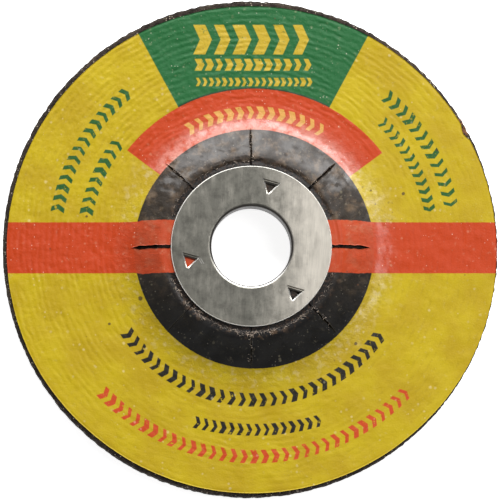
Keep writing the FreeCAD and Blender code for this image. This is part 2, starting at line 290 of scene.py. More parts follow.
def rippleGroup():
    # Rings pressed into the paper about the disc's axis, broken up along their length
    group, t, given, out = newGroup(
        "ripple",
        [("Vector", "Vector", None), ("Pitch", "Float", 1.22), ("Wander", "Float", 0.5),
         ("Break", "Float", 0.16)],
        ["Height", "Hollows"])
    radius = t.vectorMath("LENGTH", given["Vector"])["Value"]
    sway = t.times(given["Wander"], t.noise(given["Vector"], 0.22, 3.0))
    rings = t.wave(t.plus(radius, t.times(sway, 3.0)), given["Pitch"])
    strong = t.step(t.noise(given["Vector"], given["Break"], 3.0), 0.34, 0.66)
    broken = t.times(rings, t.plus(0.1, t.times(strong, 0.5)))
    lumps = t.minus(t.noise(given["Vector"], 0.85, 2.0, 0.4), 0.5)
    height = t.plus(broken, t.times(lumps, 2.4))
    t.feed(out["Height"], height)
    t.feed(out["Hollows"], t.step(height, -0.1, -0.9))
    return group


def markRowGroup():
    # A printed row of plain bars or chevrons between two ends, each bar of its own width
    group, t, given, out = newGroup(
        "markRow",
        [("Along", "Float", 0.0), ("Across", "Float", 0.0), ("Start", "Float", 0.0),
         ("End", "Float", 1.0), ("Middle", "Float", 0.0), ("Height", "Float", 1.0),
         ("Pitch", "Float", 2.0), ("Filled", "Float", 0.6), ("Point", "Float", 0.0),
         ("Soft", "Float", 0.07)],
        ["Mask"])
    offset = t.math("ABSOLUTE", t.minus(given["Across"], given["Middle"]))
    leaning = t.plus(given["Along"], t.times(offset, given["Point"]))
    place = t.math("DIVIDE", t.minus(leaning, given["Start"]), given["Pitch"])
    number = t.math("FLOOR", place)
    chance = t.node("ShaderNodeTexWhiteNoise", {"W": t.plus(number, given["Middle"])},
                    noise_dimensions="1D").outputs[0]
    half = t.times(t.times(given["Filled"], t.plus(0.75, t.times(chance, 0.5))), 0.5)
    edge = t.math("DIVIDE", given["Soft"], given["Pitch"])
    fromMiddle = t.math("ABSOLUTE", t.minus(t.minus(place, number), 0.5))
    bar = t.step(fromMiddle, t.plus(half, edge), t.minus(half, edge))
    halfHeight = t.times(given["Height"], 0.5)
    band = t.step(offset, t.plus(halfHeight, given["Soft"]), t.minus(halfHeight, given["Soft"]))
    length = t.minus(given["End"], given["Start"])
    count = t.math("FLOOR", t.plus(0.5, t.math("DIVIDE", length, given["Pitch"])))
    inside = t.times(t.math("GREATER_THAN", number, -0.5),
                     t.math("LESS_THAN", number, t.minus(count, 0.5)))
    t.feed(out["Mask"], t.times(t.times(bar, band), inside))
    return group


def grainGroup():
    # Abrasive grit in dark resin: a colour mask, a height and a sparkle
    group, t, given, out = newGroup(
        "grain",
        [("Vector", "Vector", None), ("Scale", "Float", 1.4)],
        ["Shade", "Height", "Bright"])
    distance, tone = t.cells(given["Vector"], given["Scale"])
    fine = t.noise(given["Vector"], t.times(given["Scale"], 3.5), 4.0, 0.65)
    t.feed(out["Shade"], t.plus(t.times(tone[0], 0.65), t.times(fine, 0.35)))
    t.feed(out["Height"], t.minus(t.times(fine, 0.6), distance))
    shiny = t.math("GREATER_THAN", tone[1], 0.86)
    t.feed(out["Bright"], t.times(shiny, t.step(distance, 0.42, 0.2)))
    return group


def streaksGroup():
    # Fine brushed lines one way over a slow mottle
    group, t, given, out = newGroup(
        "streaks",
        [("Vector", "Vector", None), ("Turn", "Float", 0.0), ("Fineness", "Float", 6.0),
         ("Length", "Float", 0.12)],
        ["Lines", "Mottle"])
    turned = t.node("ShaderNodeVectorRotate", {"Vector": given["Vector"], "Angle": given["Turn"]},
                    rotation_type="Z_AXIS").outputs[0]
    sides = t.sides(turned)
    drawn = t.node("ShaderNodeCombineXYZ", {0: t.times(sides[0], given["Fineness"]),
                                            1: t.times(sides[1], given["Length"])})
    t.feed(out["Lines"], t.noise(drawn.outputs[0], 1.0, 4.0, 0.6))
    stretched = t.node("ShaderNodeCombineXYZ", {0: sides[0], 1: t.times(sides[1], 0.35)})
    t.feed(out["Mottle"], t.noise(stretched.outputs[0], 0.5, 4.0, 0.6))
    return group


specks = specksGroup()
weave = weaveGroup()
ripple = rippleGroup()
markRow = markRowGroup()
grain = grainGroup()
streaks = streaksGroup()


print("stage: abrasive body")

# The worn rim is slightly oval: it stands proud along Y and dips along X
bodyLook = dict(
    around=900, rimBand=3.0, topDrop=0.09, footWear=0.15, proud=0.14, dip=1.7,
    rimRough=0.32, faceRough=0.10, topRough=0.05, topFrom=4.7, fineGrit=0.8, coarseGrit=3.1,
    grainScale=2.6, dark=linear(3, 2, 2), middle=linear(66, 57, 50), light=linear(168, 156, 136),
    dust=linear(112, 96, 78), dustAmount=0.16, hubResin=linear(10, 6, 5), hubFrom=6.2,
    chipAt=(42.9, 24.6, 5.6), chipReach=2.6, bareResin=linear(124, 84, 60), bareAmount=0.8,
)


def bodySection():
    # Corners round the section, each with the step between points on the way to the next
    d = disc
    top = d["bodyTop"] - bodyLook["topDrop"]
    run = d["mouthBevel"] * (d["recessMouth"] - d["recessFloor"]) / d["recessDepth"]
    edge = d["rimRadius"]
    bevel = d["rimBevel"]
    corners = [
        (d["bodyBore"], d["recessDepth"], 0.9),
        (d["bodyBore"], top + d["hubRise"] - d["boreEase"], 0.5),
        (d["bodyBore"] + d["boreEase"], top + d["hubRise"], 1.2),
        (d["crownRadius"], top + d["hubRise"], 1.2),
        (d["footRadius"], top, 3.0),
        (edge - bodyLook["rimBand"], top, 0.5),
        (edge - bevel, top, 0.15),
        (edge, top - bevel, 0.3),
        (edge, bodyLook["footWear"], 0.15),
        (edge - bodyLook["footWear"], 0.0, 1.1),
        (d["recessMouth"] + d["mouthBevel"], 0.0, 0.4),
        (d["recessMouth"] - run, d["mouthBevel"], 0.7),
        (d["recessFloor"], d["recessDepth"], 1.1),
    ]
    points = []
    for k, (r, z, step) in enumerate(corners):
        nextR, nextZ, _ = corners[(k + 1) % len(corners)]
        count = max(1, round(math.hypot(nextR - r, nextZ - z) / step))
        for j in range(count):
            points.append((r + (nextR - r) * j / count, z + (nextZ - z) * j / count))
    return np.array(points)


def makeBody():
    look = bodyLook
    section = bodySection()
    around = look["around"]
    angle = np.arange(around) / around * 2 * math.pi
    arc = angle * disc["rimRadius"]
    proud = look["proud"] * (1 - look["dip"] * np.cos(angle) ** 2)
    rows = []
    for r, z in section:
        across = np.full_like(arc, z + 3 * r)
        rough = layeredNoise(arc, across, look["fineGrit"], 5, 2)
        coarse = layeredNoise(arc, across, look["coarseGrit"], 9)
        deep = np.clip(0.45 + 0.6 * rough + 0.15 * coarse, 0, 1.2)
        atRim = smooth((r - disc["rimRadius"] + 1.1) / 0.8)
        radius = r + atRim * (proud - look["rimRough"] * deep)
        level = np.full_like(arc, z)
        if z < 0.01:
            outside = smooth((r - disc["recessMouth"] - 0.6) / 2)
            level = level + look["faceRough"] * deep * outside
        elif z > look["topFrom"] and r > disc["layerHole"]:
            level = level - look["topRough"] * deep
        rows.append(np.stack([radius * np.cos(angle), radius * np.sin(angle), level], axis=1))
    faces = []
    for k in range(len(section)):
        below = k * around
        above = ((k + 1) % len(section)) * around
        for j in range(around):
            n = (j + 1) % around
            faces.append((below + j, below + n, above + n, above + j))
    return meshObject("abrasiveBody", np.concatenate(rows), faces)


def bodyMaterial():
    look = bodyLook
    material, t, shader = newMaterial("abrasiveGrit")
    where = t.objectMm()
    grit = t.place(grain, {"Vector": where, "Scale": look["grainScale"]})
    colour = t.mixColour(grit["Shade"], look["dark"], look["middle"])
    dusty = t.step(t.noise(where, 0.18, 3.0), 0.45, 0.7)
    colour = t.tint(colour, dusty, look["dustAmount"], look["dust"])
    colour = t.mixColour(grit["Bright"], colour, look["light"])
    # Bare brown resin where the label is chipped
    fromChip = t.vectorMath("DISTANCE", where, look["chipAt"])["Value"]
    bare = t.times(t.step(fromChip, look["chipReach"], look["chipReach"] - 1.4),
                   t.step(t.noise(where, 1.3, 3.0), 0.4, 0.56))
    colour = t.tint(colour, bare, look["bareAmount"], look["bareResin"])
    # The resin under the hub's paper is black
    underHub = t.step(t.sides(where)[2], look["hubFrom"], look["hubFrom"] + 0.6)
    colour = t.mixColour(underHub, colour, look["hubResin"])
    t.feed(shader["Base Color"], colour)
    t.feed(shader["Specular IOR Level"], 0.2)
    t.feed(shader["Roughness"], t.minus(0.9, t.times(grit["Bright"], 0.45)))
    t.feed(shader["Normal"], t.bump(grit["Height"], 0.6, 0.0003))
    return material


body = makeBody()
giveMaterial(body, bodyMaterial())
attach(body, "root")
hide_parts("abrasive_body")


print("stage: paper label")

# Sizes in millimetres and directions in degrees from +X, with each field's edge as printed
labelLook = dict(
    radius=49.35, shiftRight=0.28, shiftDown=0.32, lowShort=0.3, thickness=0.2,
    chipCentre=51.2, chipRadius=2.5, chipAngle=28.4,
    slitEnd=24.0, slitWidths=(0.66, 0.42, 0.36, 0.36, 0.66, 0.12, 0.16, 0.36),
    columns=72, coarseRings=8, coarseTo=15.6, fineFrom=15.9, fineTo=27.0, fineStep=0.26, outerRings=90,
    footRound=4.2, crownRound=0.7, tornRadius=17.3, foldRadius=17.5, roomAbove=0.09, hubRoom=0.16,
    rippleDepth=0.042, ripplePitch=1.22, dent=0.07, plainest=((122, 0.8, 0.8), (275, 0.5, 0.65)),
    printMiddle=(0.7, 0.3), arcMiddle=(0.7, -0.1), diskMiddle=(0.7, -0.25), wobble=0.14,
    sector=(61.55, 118.35), arcSpan=(36.2, 142.7), arcEdge=32.4, diskEdge=24.11, stripeHalf=5.15,
    yellow=linear(185, 161, 6), yellowDeep=linear(173, 145, 4), green=linear(26, 94, 46),
    red=linear(181, 57, 6), redHub=linear(178, 58, 14), black=linear(7, 6, 6),
    darkGreen=linear(32, 84, 34), lineGreen=linear(28, 58, 36), printBlack=linear(24, 22, 14),
    yellowPrint=linear(184, 156, 38), yellowArc=linear(202, 148, 66), redPrint=linear(188, 66, 22),
    # paintedSheen is a painted highlight, and hazeAndSheen a warm tint that also paints sheen on the
    # black hub
    pale=linear(226, 210, 176), paintedSheen=linear(232, 196, 184), hazeAndSheen=linear(162, 134, 104),
    scuff=linear(240, 228, 190), mote=linear(232, 222, 204), brown=linear(96, 62, 40),
    # hollow is painted shade for the hollows of the pressed rings
    rubbed=linear(96, 72, 56), copper=linear(120, 94, 70), hollow=linear(120, 96, 40),
    torn=linear(14, 11, 9), tornBrown=linear(78, 58, 46), cutPaper=linear(150, 122, 96),
    pitMiddle=(24.2, 8.5), spotDark=linear(62, 44, 28),
    spots=((-22.2, -10.2, 0.55), (30.8, 11.0, 0.4), (-28.4, -15.3, 0.35), (21.1, -19.3, 0.4),
           (-12.2, -12.2, 0.8), (37.6, 19.8, 0.3), (-33.0, 6.4, 0.3), (9.6, 33.1, 0.25)),
    # How much of each wear colour, and of each painted highlight, sheen and shade, is mixed in
    amounts=dict(blotches=0.26, paintedSheen=0.3, faded=0.12, hazeAndSheen=0.26, scuffs=0.26, pits=0.85, spots=0.8,
                 dirt=0.75, rubbed=0.4, copper=0.45, hollows=0.09),
)


def labelEdge(angle):
    # How far the paper reaches in each direction from the disc's axis
    look = labelLook
    arc = angle * disc["rimRadius"]
    across = look["shiftRight"] * np.cos(angle) - look["shiftDown"] * np.sin(angle)
    offset = look["shiftRight"] ** 2 + look["shiftDown"] ** 2
    reach = across + np.sqrt(look["radius"] ** 2 - offset + across ** 2)
    facingDown = smooth((-np.sin(angle) - 0.45) / 0.4)
    reach = reach - look["lowShort"] * facingDown
    away = turnFrom(angle, look["chipAngle"])
    sideways = look["chipCentre"] * np.sin(away)
    inBite = (np.abs(sideways) < look["chipRadius"]) & (np.abs(away) < 1)
    depth = np.sqrt(np.clip(look["chipRadius"] ** 2 - sideways ** 2, 0, None))
    bite = look["chipCentre"] * np.cos(away) - depth
    torn = 0.2 + 0.2 * layeredNoise(arc, angle * 0 + 8, 0.9, 19)
    ragged = 0.035 * layeredNoise(arc, angle * 0 + 3, 1.1, 17) - 0.03
    return np.where(inBite, np.minimum(reach, bite + torn), reach) + ragged


def hubHeight(r):
    # Height of the paper's face over the rim, with the foot and the crown rounded
    top = disc["hubRise"]
    slope = top / (disc["footRadius"] - disc["crownRadius"])
    ramp = slope * (disc["footRadius"] - r)
    foot = labelLook["footRound"] * slope / 2
    lifted = (ramp + np.sqrt(ramp ** 2 + foot ** 2)) / 2
    crown = labelLook["crownRound"] * slope / 2
    return (lifted + top - np.sqrt((lifted - top) ** 2 + crown ** 2)) / 2


def slitHalf(r, k, side):
    # Half the opening of slit k, with frayed edges
    look = labelLook
    taper = np.clip((look["slitEnd"] - r) / (look["slitEnd"] - disc["crownRadius"]), 0, 1)
    fray = 0.5 + 0.5 * layeredNoise(r, np.full_like(r, 7.0 * k + 3 * side), 0.8, 23)
    return look["slitWidths"][k] / 2 * np.minimum(1, 3.6 * taper) * (0.42 + 1.15 * fray)


def tornRadius(angle):
    # The torn edge of the paper wanders in and out round the hub's crown
    return labelLook["tornRadius"] + 0.42 * layeredNoise(angle * 17, angle * 0 + 2, 2.1, 61)


def tornShare(angle):
    # The paper is whole where the red stripe meets the ring, and torn through elsewhere
    return smooth((np.abs(np.sin(angle)) - 0.30) / 0.06)


def pressedRings(x, y, r, angle):
    # The rings are plainest at upper left, fainter at the bottom and nearly gone at the right
    look = labelLook
    sway = 0.95 * layeredNoise(x, y, 4.2, 41)
    rings = np.sin(2 * math.pi * (r + sway) / look["ripplePitch"])
    plain = 0.16
    for toward, strength, spread in look["plainest"]:
        plain = plain + strength * np.exp(-(turnFrom(angle, toward) / spread) ** 2)
    patch = np.clip(0.4 + 1.1 * layeredNoise(x, y, 3.6, 43), 0, 1.2)
    inward = 0.2 + 0.8 * smooth((disc["rimRadius"] - 2.5 - r) / 6)
    lumps = 1.15 * layeredNoise(x, y, 1.3, 45, 2)
    onRim = 0.12 + 0.88 * smooth((r - disc["footRadius"] + 0.5) / 3)
    return look["rippleDepth"] * (rings * plain * patch * inward + lumps) * onRim


def hubWrinkles(x, y, r, angle):
    # Puckers at the foot of the hub and a crumple up its slope
    atFoot = np.exp(-((r - disc["footRadius"] - 0.5) / 1.8) ** 2)
    onSlope = np.exp(-((r - disc["crownRadius"] - 2.8) / 3.4) ** 2)
    pucker = 0.05 * layeredNoise(angle * 26, r, 1.3, 53)
    broad = 0.20 * layeredNoise(angle * 21, 0.8 * r, 3.4, 59)
    fine = 0.05 * layeredNoise(x, y, 1.1, 63)
    return atFoot * pucker + onSlope * (broad + fine)


def paperCreases(r, angle):
    # The paper drops at its torn edge, and beside the ring on the right it is folded along a line
    drop = -0.14 * smooth((tornRadius(angle) + 0.15 - r) / 0.3) * tornShare(angle)
    fold = labelLook["foldRadius"] + 0.12 * layeredNoise(angle * 17, angle * 0 + 5, 2.5, 67)
    onFold = np.exp(-((r - fold) / 0.14) ** 2) * smooth((0.34 - np.abs(angle)) / 0.05)
    return drop - 0.16 * onFold


def paperRelief(x, y, r):
    # Pressed rings, dents, wrinkles and creases, in millimetres
    angle = np.arctan2(y, x)
    dents = labelLook["dent"] * layeredNoise(x, y, 5.0, 47)
    return (pressedRings(x, y, r, angle) + dents + hubWrinkles(x, y, r, angle)
            + paperCreases(r, angle))


def paperFace(x, y, r, angle):
    # Height of the paper's face, held under the ring and bent down at the label's edge
    look = labelLook
    onHub = smooth((r - disc["ringRadius"] - 0.85) / 1.0) * smooth((disc["footRadius"] + 2 - r) / 2.0)
    relief = np.clip(paperRelief(x, y, r), -0.16, look["roomAbove"] + look["hubRoom"] * onHub)
    relief = relief * smooth((r - disc["ringRadius"] - 0.05) / 0.8)
    bent = 0.06 * smooth((r - labelEdge(angle) + 0.5) / 0.5)
    return disc["labelTop"] - 0.02 + hubHeight(r) + relief - bent


def tornThrough(r, angle):
    # 1 where the paper's face is torn away beside the ring
    atCrown = np.clip((tornRadius(angle) - r) / 0.25, 0, 1) * (r > disc["ringRadius"] - 0.45)
    return atCrown * tornShare(angle)


def makeLabel():
    look = labelLook
    columns = look["columns"]
    underRing = np.linspace(disc["layerHole"], look["coarseTo"], look["coarseRings"])
    radii = np.append(underRing, np.arange(look["fineFrom"], look["fineTo"], look["fineStep"]))
    outward = np.linspace(0, 1, look["outerRings"] + 1)[1:]
    rings = len(radii) + len(outward)
    share = np.linspace(0, 1, columns + 1)
    eighth = math.pi / 4
    grid = np.zeros((8, rings, columns + 1), dtype=int)
    points = []
    prints = []
    faces = []
    index = {}

    def radiusAt(i, angle):
        if i < len(radii):
            return np.full_like(angle, radii[i])
        return radii[-1] + (labelEdge(angle) - radii[-1]) * outward[i - len(radii)]

    def keyAt(k, i, j, joined):
        # Beyond the cuts the first column of the next eighth is this one's last
        return ((k + 1) % 8, i, 0) if joined and j == columns else (k, i, j)

    for k in range(8):
        for i in range(rings):
            plain = k * eighth + share * eighth
            r = radiusAt(i, plain)
            left = slitHalf(r[:1], k, 1)[0] / r[0]
            right = slitHalf(r[-1:], (k + 1) % 8, -1)[0] / r[-1]
            angle = k * eighth + left + share * (eighth - left - right)
            x = r * np.cos(angle)
            y = r * np.sin(angle)
            z = paperFace(x, y, r, angle)
            worn = 0.5 * tornThrough(r, angle)
            for j in range(columns + 1):
                key = keyAt(k, i, j, r[0] >= look["slitEnd"])
                if key not in index:
                    index[key] = len(points)
                    points.append((x[j], y[j], z[j]))
                    prints.append((r[j] * math.cos(plain[j]), r[j] * math.sin(plain[j]), worn[j]))
                grid[k, i, j] = index[key]
        for i in range(rings - 1):
            here, outer = grid[k, i], grid[k, i + 1]
            for j in range(columns):
                faces.append((here[j], outer[j], outer[j + 1], here[j + 1]))

    # The cut edge of the paper: a skirt round every border
    def skirt(chain):
        lower = []
        for p in chain:
            x, y, z = points[p]
            lower.append(len(points))
            points.append((x, y, z - look["thickness"]))
            prints.append((prints[p][0], prints[p][1], 1.0))
        for a in range(len(chain) - 1):
            faces.append((chain[a], chain[a + 1], lower[a + 1], lower[a]))

    slitRings = int(np.sum(radii < look["slitEnd"])) + 1
    for k in range(8):
        skirt(grid[k, 0, ::-1])
        skirt(grid[k, rings - 1])
        skirt(grid[k, :slitRings, 0])
        skirt(grid[k, slitRings - 1::-1, columns])
    piece = meshObject("paperLabel", points, faces)
    attribute = piece.data.attributes.new("printAt", "FLOAT_VECTOR", "POINT")
    attribute.data.foreach_set("vector", np.array(prints, dtype=np.float32).ravel())
    return piece


# Rows of plain chevrons where print runs: (ink, middle, radius or None for a straight row, start,
# end, height, pitch, share filled, point). Arcs start and end in degrees from +X.
centre = labelLook["printMiddle"]
printRows = [
    ("yellowPrint", (0.0, 42.2), None, -10.9, 12.9, 6.0, 3.97, 0.6, 0.45),
    ("yellowPrint", (0.0, 37.1), None, -10.9, 12.9, 2.4, 1.98, 0.6, 0.5),
    ("yellowPrint", (0.0, 33.6), None, -10.9, 12.9, 1.7, 1.32, 0.55, 0.5),
    ("yellowArc", centre, 27.1, 57.5, 121.0, 2.5, 2.1, 0.5, -0.5),
    ("darkGreen", centre, 40.6, 10.5, 50.0, 2.8, 2.1, 0.42, -0.5),
    ("darkGreen", centre, 36.2, 10.5, 44.0, 2.3, 1.8, 0.42, -0.5),
    ("darkGreen", centre, 40.2, 128.0, 170.5, 2.7, 2.1, 0.46, -0.5),
    ("darkGreen", centre, 34.4, 141.0, 168.5, 2.7, 2.1, 0.46, -0.5),
    ("printBlack", centre, 30.9, 213.5, 325.0, 2.7, 2.1, 0.46, 0.5),
    ("printBlack", (0.7, 10.0), 46.6, 255.0, 286.5, 2.4, 1.75, 0.46, 0.5),
    ("redPrint", centre, 42.3, 223.5, 316.5, 2.7, 2.1, 0.46, 0.5),
]


def printPlaces(t):
    # Where each point of the flat paper is, and which printed field it is in. The third value of
    # printAt is 1 on the paper's cut edge and 0.5 where its face is torn away.
    look = labelLook
    where = t.node("ShaderNodeAttribute", attribute_name="printAt").outputs["Vector"]
    x, y, torn = t.sides(where)
    radius, angle = t.polar(x, y, look["printMiddle"])
    wobble = t.times(look["wobble"], t.minus(t.noise(where, 1.6, 2.0), 0.5))
    arcRadius = t.plus(t.polar(x, y, look["arcMiddle"])[0], wobble)
    diskRadius = t.plus(t.polar(x, y, look["diskMiddle"])[0], wobble)
    edge = look["arcEdge"]
    sector = t.between(angle, look["sector"], 0.15)
    line = t.times(t.step(arcRadius, edge - 0.3, edge - 0.1),
                   t.step(arcRadius, edge + 0.35, edge + 0.1))
    fromStripe = t.math("ABSOLUTE", t.plus(t.minus(y, 0.05), wobble))
    return SimpleNamespace(
        where=where, x=x, y=y, torn=torn, radius=radius, angle=angle, wobble=wobble,
        diskRadius=diskRadius,
        greenField=t.times(sector, t.step(arcRadius, edge - 0.1, edge + 0.1)),
        line=t.times(sector, line),
        arcBand=t.times(t.between(angle, look["arcSpan"], 0.2), t.step(arcRadius, edge, edge - 0.15)),
        disk=t.step(diskRadius, look["diskEdge"] + 0.07, look["diskEdge"] - 0.07),
        stripe=t.step(fromStripe, look["stripeHalf"] + 0.08, look["stripeHalf"] - 0.08),
    )


def drawFields(t, on):
    # Yellow ground, uneven, then green, red and black fields over it
    look = labelLook
    tone = t.step(t.noise(on.where, 0.12, 3.0), 0.3, 0.7)
    colour = t.mixColour(tone, look["yellow"], look["yellowDeep"])
    colour = t.mixColour(on.greenField, colour, look["green"])
    colour = t.mixColour(on.line, colour, look["lineGreen"])
    colour = t.mixColour(on.arcBand, colour, look["red"])
    colour = t.mixColour(on.disk, colour, look["black"])
    return t.mixColour(on.stripe, colour, t.mixColour(on.disk, look["red"], look["redHub"]))


def drawRows(t, on, colour):
    worn = t.step(t.noise(on.where, 0.9, 4.0, 0.7), 0.30, 0.42)
    for ink, middle, arc, start, end, height, pitch, filled, point in printRows:
        if arc is None:
            along, across = on.x, on.y
            first, last, level = start, end, middle[1]
        else:
            across, turned = t.polar(on.x, on.y, middle)
            if start > 180:
                turned = t.plus(turned, 360.0)
            along = t.times(turned, math.radians(arc))
            first, last, level = math.radians(start) * arc, math.radians(end) * arc, arc
        row = t.place(markRow, {"Along": along, "Across": across, "Start": first, "End": last,
                                "Middle": level, "Height": height, "Pitch": pitch,
                                "Filled": filled, "Point": point, "Soft": 0.09})
        colour = t.tint(colour, row["Mask"], worn, labelLook[ink])
    return colour


def hubWear(t, on, colour):
    # Pale blotches round the hub, a painted highlight on the red arc, faded patches, and on the black
    # a warm haze that also paints sheen toward the top
    look = labelLook
    amounts = look["amounts"]
    foot = disc["footRadius"]
    where = on.where
    ring = t.times(t.step(on.radius, foot + 6.5, foot),
                   t.step(on.diskRadius, look["diskEdge"], look["diskEdge"] + 0.5))
    ring = t.times(ring, t.minus(1.0, t.times(0.85, t.greater(on.arcBand, on.stripe))))
    blotch = t.times(ring, t.step(t.noise(where, 0.7, 2.0, 0.5), 0.5, 0.72))
    colour = t.tint(colour, blotch, amounts["blotches"], look["pale"])
    # Painted highlight: the red arc's inner band is washed pale pink where the hub's foot catches the
    # light
    paintedSheen = t.times(t.minus(on.arcBand, on.disk, clamp=True),
                    t.step(on.radius, foot + 2.8, foot - 0.6))
    paintedSheen = t.times(paintedSheen, t.step(t.noise(where, 0.55, 4.0, 0.6), 0.3, 0.6))
    colour = t.tint(colour, paintedSheen, amounts["paintedSheen"], look["paintedSheen"])
    faded = t.step(t.noise(where, 0.65, 4.0, 0.7), 0.58, 0.76)
    colour = t.tint(colour, faded, amounts["faded"], look["pale"])
    # Painted sheen: a warm pale haze on the black hub that grows toward the top, where the light falls
    # on the slope
    hazeAndSheenMask = t.step(t.noise(where, 0.42, 4.0, 0.6), 0.45, 0.75)
    hazeAndSheenMask = t.times(t.plus(0.2, hazeAndSheenMask), t.step(on.y, -18.0, 8.0))
    hazeAndSheenMask = t.times(t.step(on.radius, foot - 0.4, foot - 1.4), hazeAndSheenMask)
    return t.tint(colour, hazeAndSheenMask, amounts["hazeAndSheen"], look["hazeAndSheen"])


def specksAndSpots(t, on, colour):
    # Scuffed dots, pale motes that show most on the dark fields, pits, spots and dirt
    look = labelLook
    amounts = look["amounts"]
    where = on.where
    drift = t.node("ShaderNodeTexNoise", {"Vector": where, "Scale": 0.9}).outputs[1]
    drifted = t.mixColour(0.06, where, drift)
    inField = t.greater(t.greater(on.greenField, on.arcBand), t.greater(on.disk, on.stripe))
    dots = t.place(specks, {"Vector": drifted, "Scale": 0.95, "Size": 0.3, "Share": 0.3,
                            "Patches": 0.12})
    dusty = t.minus(amounts["scuffs"], t.times(inField, 0.14))
    colour = t.tint(colour, dots["Mask"], dusty, look["scuff"])
    motes = t.place(specks, {"Vector": where, "Scale": 1.7, "Size": 0.2, "Share": 0.28,
                             "Patches": 0.2})
    showing = t.minus(t.plus(0.1, t.times(inField, 0.55)), t.times(on.disk, 0.42))
    colour = t.tint(colour, motes["Mask"], showing, look["mote"])
    # Small dark pits where the paper turns up at the right of the hub
    pits = t.place(specks, {"Vector": where, "Scale": 1.2, "Size": 0.3, "Share": 0.4,
                            "Patches": 0.9})
    nearPits = t.step(t.polar(on.x, on.y, look["pitMiddle"])[0], 6.5, 3.0)
    pitted = t.times(pits["Mask"], nearPits)
    colour = t.tint(colour, pitted, amounts["pits"], look["spotDark"])
    for spotX, spotY, size in look["spots"]:
        fromSpot = t.polar(on.x, on.y, (spotX, spotY))[0]
        spot = t.step(t.plus(fromSpot, t.times(on.wobble, 2.0)), size, size * 0.6)
        colour = t.tint(colour, spot, amounts["spots"], look["spotDark"])
    dirt = t.place(specks, {"Vector": where, "Scale": 0.42, "Size": 0.09, "Share": 0.16,
                            "Patches": 0.06})
    return t.tint(colour, dirt["Mask"], amounts["dirt"], look["brown"])


def crownWear(t, on, colour):
    # Paper rubbed to brown round the hub's crown, most at lower left
    look = labelLook
    where = on.where
    crown = disc["crownRadius"]
    rubbed = t.times(t.step(on.radius, crown + 1.4, crown - 0.6),
                     t.step(t.noise(where, 1.1, 4.0, 0.7), 0.52, 0.68))
    rubbed = t.times(rubbed, t.minus(1.0, on.stripe))
    colour = t.tint(colour, rubbed, look["amounts"]["rubbed"], look["rubbed"])
    lowerLeft = t.times(t.step(on.angle, -152.0, -140.0), t.step(on.angle, -62.0, -80.0))
    copper = t.times(t.times(lowerLeft, t.step(on.radius, crown + 1.2, crown - 0.2)),
                     t.step(t.noise(where, 0.62, 4.0, 0.68), 0.53, 0.6))
    return t.tint(colour, copper, look["amounts"]["copper"], look["copper"])


def tornPaper(t, on, colour):
    # Dark frayed paper where the face is torn away, which also stands in for painted shade beside the
    # ring's edge, and the pale cut edge
    look = labelLook
    frayedAndShade = t.mixColour(t.step(t.noise(on.where, 2.2, 4.0, 0.7), 0.5, 0.68), look["torn"],
                         look["tornBrown"])
    colour = t.mixColour(t.step(on.torn, 0.05, 0.45), colour, frayedAndShade)
    return t.mixColour(t.step(on.torn, 0.6, 0.95), colour, look["cutPaper"])


def paperSurface(t, on, shader, rippled):
    # Varnish that is polished round the hub, and the ripple that is too fine for the label's faces
    where = on.where
    nearHub = t.times(t.step(on.radius, disc["footRadius"] + 5, disc["footRadius"] + 1.5),
                      t.step(on.radius, disc["crownRadius"] - 0.6, disc["crownRadius"] + 1.4))
    polished = t.plus(0.45, t.times(t.step(t.noise(where, 0.35, 3.0), 0.35, 0.65), 0.55))
    t.feed(shader["Specular IOR Level"], 0.3)
    t.feed(shader["Coat Roughness"], 0.2)
    t.feed(shader["Coat Weight"], t.times(nearHub, polished))
    t.feed(shader["Roughness"], t.plus(0.32, t.times(t.noise(where, 0.5, 3.0), 0.30)))
    upperLeft = t.step(t.minus(on.x, t.times(on.y, 1.2)), 16.0, -40.0)
    pressed = t.times(t.plus(0.1, t.times(upperLeft, 0.34)), t.minus(1.0, t.times(nearHub, 0.75)))
    fine = t.times(t.noise(where, 2.6, 4.0, 0.65), 0.52)
    wrinkles = t.times(t.noise(where, 1.2, 5.0, 0.7, 0.4), t.times(nearHub, 1.5))
    height = t.plus(t.plus(t.times(rippled, pressed), fine), wrinkles)
    t.feed(shader["Normal"], t.bump(height, 0.9, 0.00012))


def labelMaterial():
    look = labelLook
    material, t, shader = newMaterial("printedPaper")
    on = printPlaces(t)
    colour = drawRows(t, on, drawFields(t, on))
    for wear in (hubWear, specksAndSpots, crownWear):
        colour = wear(t, on, colour)
    rings = t.place(ripple, {"Vector": on.where, "Pitch": look["ripplePitch"], "Wander": 0.55,
                             "Break": 0.16})
    # Painted shade: the paper is darkened in the hollows of the pressed rings
    hollows = t.times(rings["Hollows"], look["amounts"]["hollows"])
    colour = t.mixColour(hollows, colour, look["hollow"], "MULTIPLY")
    t.feed(shader["Base Color"], tornPaper(t, on, colour))
    paperSurface(t, on, shader, rings["Height"])
    return material


label = makeLabel()
giveMaterial(label, labelMaterial())
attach(label, "root")
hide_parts("paper_label")


print("stage: glass cloth")

clothLook = dict(
    threadPitch=0.5, thread=linear(26, 20, 16), resin=linear(9, 7, 6), hollow=linear(20, 14, 10),
)


def clothMaterial():
    look = clothLook
    material, t, shader = newMaterial("glassCloth")
    where = t.objectMm()
    cloth = t.place(weave, {"Vector": where, "Pitch Across": look["threadPitch"],
                            "Pitch Along": look["threadPitch"], "Wander": 0.1})
    soaked = t.step(t.noise(where, 0.9, 4.0), 0.4, 0.7)
    colour = t.mixColour(soaked, look["thread"], look["resin"])
    # Painted shade: the cloth is darker in the hollows of the weave
    colour = t.tint(colour, cloth["Hollows"], 0.5, look["hollow"])
    t.feed(shader["Base Color"], colour)
    t.feed(shader["Specular IOR Level"], 0.06)
    t.feed(shader["Roughness"], t.plus(0.6, t.times(soaked, 0.3)))
    t.feed(shader["Normal"], t.bump(cloth["Height"], 0.5, 0.0001))
    return material


giveMaterial(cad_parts["glass_mesh"], clothMaterial())

